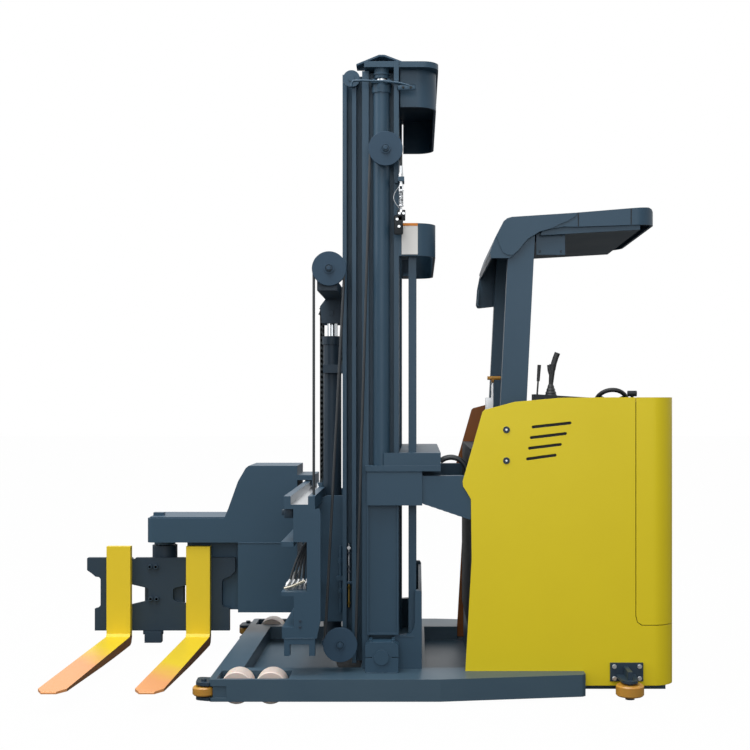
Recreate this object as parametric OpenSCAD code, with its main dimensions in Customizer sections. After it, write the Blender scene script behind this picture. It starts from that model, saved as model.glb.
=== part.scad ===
// Three-way forklift stacker with a traversing and swinging fork head.
// Millimetres, +Z up, forks towards -X, floor at z = 0.

/* [Base] */
// half width over the side frames
base_half_w = 756; // [740:1:760]
// width of one side frame
side_w = 243; // [225:1:245]
// underside of the side frames
base_z0 = 21; // [15:1:28]
// deck height of the side frames
base_z1 = 117; // [110:1:120]
// front end of the base
base_x0 = -612; // [-616:1:-606]
// rear end of the side frames
base_x1 = 1023; // [1000:1:1040]
// load wheel diameter
load_d = 140; // [134:1:140]
// load wheel width
load_w = 114; // [100:1:120]
// drive wheel diameter
drive_d = 250; // [230:1:260]

/* [Mast] */
// depth of every mast rail
rail_depth = 165; // [155:1:168]
// front face of the outer rail
outer_x = 38; // [36:1:42]
// forward stagger of each inner stage
stage_step = 48; // [46:1:50]
// top of the outer rails
mast_top = 2790; // [2700:5:2790]
// lift cylinder diameter
lift_d = 72; // [60:1:76]
// free lift cylinder diameter
free_d = 88; // [70:1:92]
// cheek disc diameter
disc_d = 152; // [140:1:156]

/* [Body] */
// half width over the yellow panels
body_half_w = 586; // [580:1:590]
// height of the body
body_top = 1331; // [1320:1:1340]
// panel thickness
panel_t = 6; // [4:1:8]
// rear corner radius of the body
body_r = 100; // [80:1:110]

/* [Guard] */
// half width of the overhead guard
guard_half_w = 500; // [490:1:510]
// guard post size along x
post_w = 117; // [100:1:120]

/* [Fork head] */
// fork blade width
fork_w = 123; // [100:1:126]
// fork thickness at the heel
fork_t = 42; // [35:1:44]
// fork tip position across the truck
fork_tip_y = -900; // [-910:1:-850]
// pivot position along the truck
pivot_x = -1048; // [-1052:1:-1044]
// pivot position across the truck
pivot_y = 480; // [476:1:484]

/* [Hidden] */
// from the middle of the side frames to the middle of the whole width
centre_y = 67.5;
$fn = 48;
sides = [-1, 1];

grey = "#4a5f6c";
dark = "#22333e";
yellow = "#dcc82c";
amber = "#c9a04a";
cream = "#e0d3cc";
black = "#1a1c1e";
steel = "#a9adb0";

// gap between parts that move past each other
run_gap = 6;
// depth by which a seated piece runs into its seat: 0 is face to face
seat = 0;
// open joint between sheet panels that stand next to each other
panel_gap = 0.3;
// radial clearance of a turning bore
bore_gap = 0.06;

// a box from its low corner to its high corner
module box(lo, hi) {
    translate(lo) cube([hi[0] - lo[0], hi[1] - lo[1], hi[2] - lo[2]]);
}

// a box on side s, given by its distances from the middle
module side_box(s, lo, hi) {
    y0 = s > 0 ? lo[1] : -hi[1];
    y1 = s > 0 ? hi[1] : -lo[1];
    box([lo[0], y0, lo[2]], [hi[0], y1, hi[2]]);
}

// a plate drawn in x and z, from y0 to y1
module xz_plate(y0, y1) {
    translate([0, y1, 0]) rotate([90, 0, 0]) linear_extrude(y1 - y0) children();
}

// a plate drawn in x and z on side s, between two distances from the middle
module side_plate(s, d0, d1) {
    y0 = s > 0 ? d0 : -d1;
    y1 = s > 0 ? d1 : -d0;
    xz_plate(y0, y1) children();
}

// a bar along y
module bar_y(d, x, z, y0, y1) {
    translate([x, y1, z]) rotate([90, 0, 0]) cylinder(d = d, h = y1 - y0);
}

// a rod on z
module rod_z(d, x, y, z0, z1) {
    translate([x, y, z0]) cylinder(d = d, h = z1 - z0);
}

/* base frame */
side_in = base_half_w - side_w;
front_wall_x = -495;
taper_x = 385;
taper_y = 661;
slot_x0 = -582;
slot_x1 = -270;
slot_y0 = 575;
slot_y1 = 736;
load_x = [-500, -352];
load_y = (slot_y0 + slot_y1) / 2;
load_z = load_d / 2;
axle_d = 30;
foot_x0 = 30;
foot_x1 = 320;
body_x0 = 498;
body_z0 = 52;
tray_z0 = 30;
tray_z1 = 50;
wheel_well = 175;
drive_x = 1130;
roller_out = 765;
// each row holds x, middle height, radius and thickness
front_roller = [-640, 62, 48, 38];
rear_roller = [1208, 60, 61, 48];
// lower faces of the two plates of the front roller's bracket, and their thickness
bracket_z = [24, 88];
bracket_t = 13;
recess_x1 = -536;

module side_frame(s) {
    difference() {
        translate([0, 0, base_z0]) linear_extrude(base_z1 - base_z0) polygon([
            [base_x0, s * side_in], [base_x0, s * (base_half_w - 10)], [base_x0 + 10, s * base_half_w],
            [taper_x, s * base_half_w], [base_x1 - 15, s * (taper_y + 2)], [base_x1, s * (taper_y - 12)],
            [base_x1, s * (body_half_w - 40)], [body_x0 + 60, s * side_in]]);
        side_box(s, [slot_x0, slot_y0, base_z0 - 1], [slot_x1, slot_y1, base_z1 + 1]);
        // pocket for the front guide roller, and the shallow recess beside it
        translate([front_roller[0], s * (roller_out - front_roller[2]), bracket_z[0] + bracket_t])
            cylinder(r = front_roller[2] + run_gap - 1, h = bracket_z[1] - bracket_z[0] - bracket_t, $fn = 64);
        side_box(s, [base_x0 - 1, base_half_w - 9, bracket_z[0] + bracket_t], [recess_x1, base_half_w + 1, bracket_z[1]]);
        // the body panel stands in this step
        side_box(s, [body_x0 - 2, side_in - 60, body_z0 - 2], [base_x1 + 1, body_half_w, base_z1 + 1]);
    }
    // load wheel axles
    for (x = load_x) bar_y(axle_d, x, load_z, s > 0 ? slot_y0 - 5 : -slot_y1 - 5, s > 0 ? slot_y1 + 5 : -slot_y0 + 5);
}

module base_frame() {
    color(grey) {
        for (s = sides) side_frame(s);
        box([base_x0, -side_in, base_z0], [front_wall_x, side_in, base_z1]);
        box([foot_x0, -side_in, base_z0], [foot_x1, side_in, base_z1]);
        // chassis plate under the body, open over the drive wheel
        difference() {
            box([foot_x1, -side_in, base_z0], [1400, side_in, base_z0 + 26]);
            translate([drive_x, 0, base_z0 - 1]) cylinder(r = wheel_well, h = 40, $fn = 64);
        }
        for (s = sides) side_box(s, [body_x0 + 30, 470, base_z0 + 26], [1400, 490, 250]);
        box([body_x0 + 30, -470, base_z0 + 26], [body_x0 + 46, 470, 250]);
        box([1384, -470, base_z0 + 26], [1400, 470, 250]);
    }
}

module floor_tray() {
    color("#5d707c") difference() {
        box([front_wall_x - seat, -side_in - seat, tray_z0], [foot_x0 + seat, side_in + seat, tray_z1]);
        translate([foot_x0 + 760, 0, tray_z0 - 1]) cylinder(r = 900, h = 40, $fn = 96);
    }
}

/* mast feet */
pin_x = 127;
pin_z = 185;
foot_d0 = 540;
foot_d1 = 626;
block_x0 = 55;
block_x1 = 202;
block_top = 252;

module mast_feet() {
    color(grey) for (s = sides) {
        side_plate(s, foot_d0, foot_d1) difference() {
            polygon([[block_x0, base_z1 - seat], [block_x1, base_z1 - seat], [block_x1, block_top - 18],
                [block_x1 - 18, block_top], [block_x0 + 18, block_top], [block_x0, block_top - 18]]);
            translate([block_x0 - 1, pin_z - 1.5]) square([32, 3]);
            translate([block_x1 - 31, pin_z - 1.5]) square([32, 3]);
        }
        bar_y(66, pin_x, pin_z, s > 0 ? foot_d0 - 5 : -foot_d1 - 8, s > 0 ? foot_d1 + 8 : -foot_d0 + 5);
    }
}

/* mast rails: each row holds front x, inner and outer distance, web from and to, foot and head */
outer_in = 430;
outer_out = 540;
web_outer = [484, 500];
mid_in = 350;
mid_out = web_outer[0] - run_gap;
web_mid = [404, 420];
in_in = 270;
in_out = web_mid[0] - run_gap;
web_in = [324, 340];
mid_x = outer_x - stage_step;
in_x = mid_x - stage_step;
stage_z0 = 130;
mid_top = 2796;
in_top = 2810;
flange = 19;
outer_front = 30;
outer_rear = 23;
outer_x1 = outer_x + rail_depth;
mid_x1 = mid_x + rail_depth;
in_x1 = in_x + rail_depth;

module rail(s, x0, d0, d1, web, z0, z1, front, rear) {
    side_box(s, [x0, d0, z0], [x0 + front, d1, z1]);
    side_box(s, [x0 + rail_depth - rear, d0, z0], [x0 + rail_depth, d1, z1]);
    side_box(s, [x0 + front, web[0], z0], [x0 + rail_depth - rear, web[1], z1]);
}

// a shell bowed rearwards, seen from above
module bow_plan(x0, x1, half, r) {
    intersection() {
        translate([x0, -half]) square([x1 - x0, 2 * half]);
        hull() {
            translate([x0 - r, -half]) square([1, 2 * half]);
            for (s = sides) translate([x1 - r, s * (half - r)]) circle(r = r, $fn = 64);
        }
    }
}

module bow(x0, x1, half, r, t, z0, z1) {
    translate([0, 0, z0]) linear_extrude(z1 - z0) difference() {
        bow_plan(x0, x1, half, r);
        bow_plan(x0 - 1, x1 - t, half - t, r - t);
    }
}

shell_x0 = outer_x1 + run_gap;
bow_t = 10;
bow_x1 = 370;
low_plate_x1 = 305;
low_wall_z = 466;
guard_bar_x = [245, 280];
brace_z = [851, 1003, 1028, 1084];
brace_x1 = 389;
bow_z = [1964, 2110];

module mast_outer() {
    color(grey) {
        for (s = sides) {
            rail(s, outer_x, outer_in, outer_out, web_outer, base_z1 - seat, mast_top, outer_front, outer_rear);
            // hose guard bars behind the rails, below and above the brace
            side_box(s, [guard_bar_x[0], 470, base_z1 - seat], [guard_bar_x[1], 500, brace_z[0] + seat]);
            side_box(s, [guard_bar_x[0], 470, brace_z[3] - seat], [guard_bar_x[1], 500, bow_z[0] + seat]);
            // low side of the cross-member, swept up into its rear wall
            side_plate(s, 500, outer_out) polygon([[outer_x1 - seat, base_z1 - seat], [low_plate_x1, base_z1 - seat],
                [low_plate_x1, low_wall_z - 14], [low_plate_x1 - 8, low_wall_z], [low_plate_x1 - 30, low_wall_z],
                [low_plate_x1 - 31, 320], [low_plate_x1 - 38, 290], [low_plate_x1 - 52, 274],
                [low_plate_x1 - 70, 268], [outer_x1 - seat, 266]]);
            // cheek plate on the lower rail, with turned edges
            side_box(s, [60, outer_out - seat, 271], [201, outer_out + 6, 847]);
            for (x = [60, 193]) side_box(s, [x, outer_out, 271], [x + 8, outer_out + 16, 847]);
            side_box(s, [60, outer_out, 271], [201, outer_out + 16, 279]);
            // seat of the bow on the rear flange
            side_box(s, [outer_x1 - seat, outer_out - 12, bow_z[0]], [shell_x0 + 2, outer_out, bow_z[1]]);
        }
        box([low_plate_x1 - 16, -500 - seat, base_z1 - seat], [low_plate_x1, 500 + seat, low_wall_z - 14]);
        bow(shell_x0, bow_x1 - 3, outer_out, 90, bow_t, bow_z[0], bow_z[1]);
        for (z = [bow_z[0], bow_z[1] - 12]) difference() {
            box([shell_x0, -outer_out + 5, z], [shell_x0 + 70, outer_out - 5, z + 12]);
            box([shell_x0 - 1, -380, z - 1], [shell_x0 + 50, 380, z + 13]);
        }
    }
    // anchor of the hose below the upper disc
    color(steel) box([disc_top[0] + hose_r - 14, -disc_y0 - disc_w, 2286], [disc_top[0] + hose_r + 14, -outer_out + 14, 2306 + seat]);
    color(steel) box([outer_x1 - 18, -outer_out - 20, 2286], [disc_top[0] + hose_r + 14, -outer_out + seat, 2306 + seat]);
    // blank sign plate with its orange strip
    color("#eceae6") side_box(-1, [shell_x0 + 6, outer_out - seat, 1970], [shell_x0 + 78, outer_out + 2, 2098]);
    color("#d8872f") side_box(-1, [shell_x0 + 6, outer_out - seat, 2098], [shell_x0 + 78, outer_out + 3, 2110]);
}

/* brace between the mast and the body */
side_d = 586;
beam_d = [520, 578];
body_front = 523;

module mast_brace() {
    color(grey) {
        for (s = sides) {
            side_box(s, [61, outer_out - seat, brace_z[0]], [307, side_d, brace_z[1] + seat]);
            side_box(s, [outer_x1 - seat, outer_in, brace_z[0]], [307, outer_out, brace_z[1] + seat]);
            side_box(s, [54, outer_out - seat, brace_z[1]], [brace_x1, side_d + 4, brace_z[2]]);
            // cover: a shell open towards the lift cylinder
            side_box(s, [136, side_d - 6, brace_z[2] - seat], [brace_x1, side_d, brace_z[3]]);
            side_plate(s, beam_d[0], beam_d[1]) polygon([[306, 860], [body_front, 787],
                [body_front, 982], [306, 982]]);
        }
        box([outer_x1 + 1, -outer_out, brace_z[1]], [brace_x1, outer_out, brace_z[2]]);
        box([brace_x1 - 6, -side_d + 5, brace_z[2] - seat], [brace_x1, side_d - 5, brace_z[3]]);
        box([outer_x1 + 1, -side_d + 5, brace_z[3] - 6], [brace_x1, side_d - 5, brace_z[3]]);
    }
}

/* lift cylinders: tubes in the outer recess, rods under the middle mast's top plate */
lift_x = 125;
lift_y = web_outer[1] + 5 + lift_d / 2;
rod_d = 50;
rod_gap = 3;
gland_z = 2740;
rod_foot = 1100;

module lift_cylinders() {
    color(grey) for (s = sides) difference() {
        union() {
            rod_z(lift_d, lift_x, s * lift_y, brace_z[2] - seat, gland_z - 50);
            rod_z(lift_d + 9, lift_x, s * lift_y, gland_z - 52, gland_z - 12);
            translate([lift_x - 45, s * lift_y - 40, gland_z - 14]) cube([90, 80, 14]);
        }
        rod_z(rod_d + rod_gap, lift_x, s * lift_y, rod_foot - 20, gland_z + 1);
    }
}

module piston_rods() {
    color(steel) for (s = sides) rod_z(rod_d, lift_x, s * lift_y, rod_foot, mid_top + seat);
}

/* middle mast */
top_z = [mid_top, 2822];
plate_half = 585;
disc_y0 = 592;
disc_w = 20;
disc_top = [145, 2430];
disc_low = [-56, 237];
disc_head = [-105, 1900];
hanger_x = [181, 203];
hub_d = 26;
pin_d = 20;

module disc_pin(x, z, d0) {
    bar_y(pin_d, x, z, -disc_y0 - disc_w - 8, -d0);
    bar_y(hub_d, x, z, -disc_y0 - disc_w - 14, -disc_y0 - disc_w - 6);
}

module mast_middle() {
    color(grey) {
        for (s = sides) {
            rail(s, mid_x, mid_in, mid_out, web_mid, stage_z0, mid_top + seat, flange, flange);
            // roof-shaped tie bracket over the rail
            side_plate(s, 421, 433) polygon([[10, top_z[1] - seat], [10, top_z[1] + 10], [112, 2874], [138, 2874],
                [250, top_z[1] + 10], [250, top_z[1] - seat]]);
            side_plate(s, 433 - seat, 500) polygon([[10, top_z[1] + 2], [10, top_z[1] + 10], [112, 2874],
                [138, 2874], [250, top_z[1] + 10], [250, top_z[1] + 2], [136, 2866], [114, 2866]]);
        }
        for (z = [140, 2600]) box([mid_x1 - 35, -web_mid[0] - seat, z], [mid_x1, web_mid[0] + seat, z + 100]);
        difference() {
            translate([0, 0, top_z[0]]) linear_extrude(top_z[1] - top_z[0]) hull() {
                translate([49, -plate_half]) square([1, 2 * plate_half]);
                for (s = sides) translate([bow_x1 - 61, s * (plate_half - 70)]) circle(r = 70, $fn = 64);
            }
            box([0, -web_mid[0] + 2, top_z[0] - 1], [in_x1 + run_gap, web_mid[0] - 2, top_z[1] + 1]);
        }
        bow(shell_x0, bow_x1, outer_out, 90, bow_t, 2629, top_z[0] + seat);
        // hanger of the upper disc, past the lift cylinder
        side_box(-1, [hanger_x[0], 583, 2400], [hanger_x[1], 589, top_z[0] + seat]);
        side_box(-1, [120, 583, 2405], [hanger_x[1], 589, 2455]);
        side_box(-1, [hanger_x[0], 583, top_z[0] - 20], [hanger_x[1], 589, top_z[1]]);
        disc_pin(disc_top[0], disc_top[1], 584);
    }
}

// a flat cheek disc with a groove for the hose, turning on its pin
hose_d = 12;
hose_r = 68;
hose_clear = 0.4;
groove_r = hose_r - hose_d / 2 - hose_clear;

module hose_disc(c) {
    color("#34495a") translate([c[0], -disc_y0, c[1]]) rotate([90, 0, 0]) rotate_extrude($fn = 72)
        polygon([[pin_d / 2 + bore_gap, 0], [disc_d / 2 - 1, 0], [disc_d / 2, 1], [disc_d / 2, 3], [groove_r, 3],
            [groove_r, disc_w - 3], [disc_d / 2, disc_w - 3], [disc_d / 2, disc_w - 1],
            [disc_d / 2 - 1, disc_w], [pin_d / 2 + bore_gap, disc_w]]);
}

/* hose runs: straight runs between the discs, on the groove's pitch circle */
hose_y = -disc_y0 - disc_w / 2;
// the carriage channel: its underside, the top of its floor and the top of its walls
chan_z = [844, 864, 900];
head_run_z = chan_z[2];

module hose_run(a, b) {
    color(black) hull() for (p = [a, b]) translate([p[0], hose_y, p[1]]) cylinder(d = hose_d, h = 0.5, $fn = 20);
}

module hose_run_top() {
    hose_run([disc_top[0] + hose_r, 2306], [disc_top[0] + hose_r, disc_top[1]]);
}

module hose_run_up() {
    hose_run([disc_top[0] - hose_r, disc_top[1]], [disc_low[0] + hose_r, disc_low[1]]);
}

module hose_run_mid() {
    hose_run([disc_low[0] - hose_r, disc_low[1]], [disc_head[0] + hose_r, disc_head[1]]);
}

module hose_run_head() {
    hose_run([disc_head[0] - hose_r, disc_head[1]], [disc_head[0] - hose_r, head_run_z]);
}

/* inner mast */
free_x = -131;
free_base_z = [130, 152];
free_top = 1630;
chain_x = [-184, -178];
chain_back_x = [-84, -78];
chain_y = [60, 80];
sheave_z = 1740;
collar_z = [1450, 1490];

module mast_inner() {
    color(grey) {
        for (s = sides) rail(s, in_x, in_in, in_out, web_in, stage_z0, in_top, flange, flange);
        for (z = [140, 1500, 2690]) box([in_x1 - flange, -in_in - seat, z], [in_x1, in_in + seat, z + 100]);
        // foot that carries the free lift cylinder
        box([free_x - 48, -60, free_base_z[0]], [in_x1, 60, free_base_z[1]]);
        box([in_x1 - 60, -in_in - seat, free_base_z[0]], [in_x1, in_in + seat, free_base_z[1]]);
        // arm of the lower disc, in front of the other stages
        side_box(-1, [in_x, in_out - 1, 215], [in_x + 40, 575, 259]);
        side_box(-1, [in_x - 18, 570, 205], [in_x + 40, 586, 269]);
        disc_pin(disc_low[0], disc_low[1], 584);
    }
    // chain anchors with bright nuts
    color(steel) for (y = [-300, 300]) {
        rod_z(14, in_x - 14, y, 330, 640);
        for (z = [420, 560]) rod_z(26, in_x - 14, y, z, z + 22);
        box([in_x - 32, y - 22, 480], [in_x + 1, y + 22, 500]);
    }
}

module free_lift_cyl() {
    color(dark) difference() {
        union() {
            rod_z(free_d, free_x, 0, free_base_z[1] - seat, free_top);
            rod_z(free_d + 12, free_x, 0, free_top - 40, free_top);
            // collar that holds the rear chain ends
            box([free_x - 40, -chain_y[1] - 4, collar_z[0]], [chain_back_x[1] + 8, chain_y[1] + 4, collar_z[1]]);
        }
        rod_z(rod_d + rod_gap, free_x, 0, 880, free_top + 1);
    }
}

/* crosshead of the free lift */
cross_z = [1805, 1850];
cross_x = [-160, -70];
sheave_r = 47;

module crosshead() {
    color(dark) {
        box([cross_x[0], -disc_y0 + 8, cross_z[0]], [cross_x[1], 110, cross_z[1]]);
        box([disc_head[0] - 28, -586, cross_z[0]], [disc_head[0] + 28, -570, disc_head[1] + 24]);
        for (s = sides) {
            side_plate(s, 50, 56) polygon([[-176, 1690], [-86, 1690], [-70, cross_z[0] + seat],
                [cross_x[0], cross_z[0] + seat], [-186, 1770]]);
            side_plate(s, 84, 90) polygon([[-176, 1690], [-86, 1690], [-70, cross_z[0] + seat],
                [cross_x[0], cross_z[0] + seat], [-186, 1770]]);
            bar_y(2 * sheave_r, free_x, sheave_z, s > 0 ? 56 - seat : -84 - seat, s > 0 ? 84 + seat : -56 + seat);
        }
        bar_y(24, free_x, sheave_z, -94, -49);
        bar_y(24, free_x, sheave_z, 49, 94);
        disc_pin(disc_head[0], disc_head[1], 584);
    }
    color(steel) rod_z(rod_d, free_x, 0, 900, cross_z[0] + seat);
}

carriage_anchor_z = 920;

module chain_run(x, z0, z1) {
    for (s = sides) side_box(s, [x[0], chain_y[0], z0], [x[1], chain_y[1], z1]);
}

// front chain runs, from the sheaves down to the carriage
module lift_chains() {
    color(black) chain_run(chain_x, carriage_anchor_z, sheave_z);
}

// rear chain runs, from the cylinder's collar up to the sheaves
module anchor_chains() {
    color(black) chain_run(chain_back_x, collar_z[1], sheave_z);
}

/* carriage: traverse frame */
rail_half = 690;
end_d0 = 665;
chan_x = [-297, -266, -191, -161];
end_x = [-253, -196, -136];
low_rail_x = [-304, -252];
low_rail_z = [280, 330];
arm_d = [240, 262];
roller_d = 116;
roller_x = in_x + flange + (rail_depth - 2 * flange) / 2;

module carriage() {
    color(grey) {
        for (s = sides) {
            // end plate with its notch for the hoses
            side_plate(s, end_d0, rail_half) polygon([[-255, chan_z[0] + seat], [-255, 700], [end_x[1], 700],
                [end_x[1], 476], [end_x[0], 476], [end_x[0], 280 - seat], [-153, 280 - seat], [end_x[2], 360],
                [end_x[2], 820], [-141, chan_z[0] + seat]]);
            // foot bracket below the end plate
            side_box(s, [-295, 650, 255], [-161, rail_half, 280]);
            for (x = [-295, -186]) side_box(s, [x, 650, 205], [x + 25, rail_half, 256]);
            side_plate(s, arm_d[0], arm_d[1]) polygon([[low_rail_x[1] - seat, 280], [60, 280], [60, 840], [-20, 870],
                [-140, 870], [-200, chan_z[0] + seat], [-254, chan_z[0] + seat]]);
            for (z = [360, 780]) {
                side_y = s > 0 ? arm_d[1] - 1 : -in_in - 50;
                bar_y(30, roller_x, z, side_y, side_y + 51 + in_in - arm_d[1]);
            }
        }
        // upper channel, notched for the lift cylinder
        difference() {
            union() {
                box([chan_x[0], -rail_half, chan_z[0]], [chan_x[3], rail_half, chan_z[1]]);
                box([chan_x[0], -rail_half, chan_z[0]], [chan_x[1], rail_half, chan_z[2]]);
                box([chan_x[2], -rail_half, chan_z[0]], [chan_x[3], rail_half, chan_z[2]]);
            }
            box([-188, -100, chan_z[0] - 1], [0, 100, chan_z[2] + 1]);
        }
        for (s = sides) side_box(s, [-200, 56, chan_z[0]], [chain_x[1] + 4, 84, carriage_anchor_z + seat]);
        box([-308, -rail_half, 680], [-254, rail_half, 702]);
        box([-308, -rail_half, 465], [end_x[1], rail_half, 483]);
        box([low_rail_x[0], -rail_half, low_rail_z[0]], [low_rail_x[1], rail_half, low_rail_z[1]]);
    }
    color(steel) {
        for (s = sides) for (z = [360, 780]) {
            side_y = s > 0 ? in_in - 4 : -web_in[0] + 6;
            bar_y(roller_d, roller_x, z, side_y, side_y + web_in[0] - in_in - 2);
        }
        // hose connectors on the shelf
        for (y = [-560, -515, -470, -425]) rod_z(24, -262, y, 482, 540);
    }
}

/* swing head: slides across the truck, carries the pivot */
head_d = [pivot_y - 160, pivot_y + 160];
head_back_x = -334;
arm_z = [584, 709];
head_low_x = [-918, -640];
head_low_z = 224;
gear_half = 66;

module swing_head() {
    color(grey) {
        // lower box
        box([head_low_x[1], head_d[0], head_low_z], [head_back_x, head_d[1], arm_z[0] + seat]);
        // gear box behind the fork plate, clear of its turning circle
        box([head_low_x[0], pivot_y - gear_half, head_low_z], [head_low_x[1] + seat, pivot_y + gear_half, arm_z[0] + seat]);
        // arm with a rounded nose
        translate([0, 0, arm_z[0]]) linear_extrude(arm_z[1] - arm_z[0]) hull() {
            translate([head_back_x - 10, head_d[0]]) square([10, 320]);
            for (s = sides) translate([-1080, pivot_y + s * 130]) circle(r = 30);
        }
        // shoulder
        xz_plate(head_d[0], head_d[1]) polygon([[-711, arm_z[1] - seat], [-690, 760], [-640, 900], [-600, 968],
            [-585, 980], [head_back_x, 980], [head_back_x, arm_z[1] - seat]]);
        // thin lid on the arm
        translate([0, 0, arm_z[1] - seat]) linear_extrude(6) hull() {
            translate([-712, head_d[0] + 10]) square([10, 300]);
            for (s = sides) translate([-1072, pivot_y + s * 124]) circle(r = 28);
        }
        // hook over the channel's front wall
        box([head_back_x - 1, head_d[0], chan_z[2] + run_gap], [-247, head_d[1], chan_z[2] + run_gap + 26]);
        box([-260, head_d[0], chan_z[1] + run_gap + 2], [-247, head_d[1], chan_z[2] + run_gap + 1]);
        // sliding pads on the wall's top
        for (y = [head_d[0] + 10, head_d[1] - 70]) box([chan_x[0] + 2, y, chan_z[2] + 0.5],
            [chan_x[1] - 2, y + 60, chan_z[2] + run_gap + 1]);
        // lower pads against the lower rail
        for (y = [head_d[0] + 20, head_d[1] - 100]) box([head_back_x - 1, y, 285], [low_rail_x[0] - 5, y + 80, 325]);
    }
    color(black) {
        rod_z(110, pivot_x, pivot_y, 560, arm_z[0] + seat);
        rod_z(60, pivot_x, pivot_y, 505, 561);
        box([-1095, pivot_y - 70, arm_z[1]], [-1040, pivot_y - 30, arm_z[1] + 22]);
    }
}

/* fork plate: turns about the vertical pivot */
plate_x = [-1433, -662];
plate_z = [120, 499];
plate_y = [378, 404];

module plate_outline() {
    difference() {
        polygon([
            [plate_x[0], plate_z[1] - 4], [plate_x[0], 434], [plate_x[0] + 28, 414], [plate_x[0] + 44, 400],
            [plate_x[0] + 62, 398], [plate_x[0] + 70, 388], [plate_x[0] + 70, 252], [plate_x[0] + 60, 240],
            [plate_x[0] + 40, 234], [plate_x[0] + 40, plate_z[0]], [plate_x[1] - 30, plate_z[0]],
            [plate_x[1] - 30, 236], [plate_x[1] - 60, 242], [plate_x[1] - 70, 254], [plate_x[1] - 70, 372],
            [plate_x[1] - 62, 388], [plate_x[1] - 26, 402], [plate_x[1], 430], [plate_x[1], plate_z[1] - 4],
            [plate_x[1] - 4, plate_z[1]], [-900, plate_z[1]], [-905, plate_z[1] - 8], [-915, plate_z[1] - 8],
            [-920, plate_z[1]], [-1180, plate_z[1]], [-1185, plate_z[1] - 8], [-1195, plate_z[1] - 8],
            [-1200, plate_z[1]], [plate_x[0] + 4, plate_z[1]]]);
        for (h = plate_holes) plate_hole(h);
    }
}

// each row holds the wide end and the narrow end of a hole, along x
plate_holes = [[-1240, -1114], [-860, -986]];
hole_z = 308;
hole_wide = 57;
hole_narrow = 35;
hole_r = 16;

module plate_hole(h) {
    way = sign(h[1] - h[0]);
    hull() for (u = [-1, 1]) {
        translate([h[0] + way * hole_r, hole_z + u * (hole_wide - hole_r)]) circle(r = hole_r);
        translate([h[1] - way * hole_r, hole_z + u * (hole_narrow - hole_r)]) circle(r = hole_r);
    }
}

module fork_plate() {
    color(dark) {
        xz_plate(plate_y[0], plate_y[1]) plate_outline();
        // turning block behind the plate, with its bore for the pivot
        difference() {
            union() {
                box([pivot_x - 90, plate_y[1] - seat, 440], [pivot_x + 90, 560, 480]);
                rod_z(130, pivot_x, pivot_y, 440, 555);
                box([pivot_x - 90, plate_y[1] - seat, 180], [pivot_x - 70, 470, 441]);
                box([pivot_x + 60, plate_y[1] - seat, 180], [pivot_x + 112, 452, 441]);
            }
            rod_z(60 + 2 * bore_gap, pivot_x, pivot_y, 500, 600);
        }
        // camera box on its bracket
        box([-1142, plate_y[0] + 2, 100], [-1040, plate_y[1] - 2, 121]);
        box([-1130, plate_y[0] - 20, 60], [-1044, plate_y[1], 116]);
    }
    color(black) for (p = [[-1104, 452], [-1073, 452], [-1100, 286], [-1069, 286]])
        bar_y(20, p[0], p[1], plate_y[0] - 6, plate_y[0] + seat);
}

/* forks */
fork_x = [-1260, -849];
fork_top = 562;
blade_top = 97;
tip_taper = 62;
tip_corner = 30;
tip_t = 10;

module forks() {
    shank_y = -plate_y[0];
    color(yellow) for (x = fork_x) translate([x - fork_w / 2, 0, 0]) intersection() {
        translate([fork_w, 0, 0]) rotate([90, 0, -90]) linear_extrude(fork_w) polygon([
            [shank_y, fork_top], [shank_y + fork_t, fork_top], [shank_y + fork_t, blade_top + 14],
            [shank_y + fork_t + 14, blade_top], [-fork_tip_y - 4, blade_top], [-fork_tip_y, blade_top - 4],
            [-fork_tip_y, blade_top - tip_t], [shank_y + 620, blade_top - fork_t + 8],
            [shank_y + 300, blade_top - fork_t], [shank_y + 40, blade_top - fork_t - 4],
            [shank_y + 14, blade_top - fork_t + 6], [shank_y, blade_top - fork_t + 34]]);
        linear_extrude(700) polygon([[0, 400], [fork_w, 400], [fork_w, fork_tip_y + tip_taper],
            [fork_w - tip_corner, fork_tip_y], [tip_corner, fork_tip_y], [0, fork_tip_y + tip_taper]]);
    }
}

/* body panels */
door_x = 1256;
door_z = 321;
seam = 3;
body_x1 = 1433;
// outline of a side panel in x and z
panel_front = [[498, 52], [498, 120], [526, 610], [523, 878], [506, 908], [488, 936], [486, 958], [574, 1266],
    [584, 1276], [605, 1281], [717, 1311], [924, 1329], [1128, body_top]];
vents = [[531.8, 427.1, 571.4, 423], [530.1, 437.7, 566.9, 433.6], [528.2, 448.3, 561.7, 444.5],
    [526.3, 459, 556.5, 455.2]];
vent_h = 13;
photo_scale = 4.435;
fastener = [[680, 1187], [680, 1050]];

// a vent row holds the two ends of a slot as seen; this turns it into millimetres
function seen_x(p) = (p - 418) * photo_scale + 288;
function seen_z(p) = 1319 - (p - 400) * photo_scale;

module panel_plan(inset) {
    r = body_r - inset;
    hull() {
        for (s = sides) translate([body_x1 - body_r, s * (body_half_w - body_r)]) circle(r = r, $fn = 64);
        translate([400, -body_half_w + inset]) square([1, 2 * (body_half_w - inset)]);
    }
}

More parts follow.
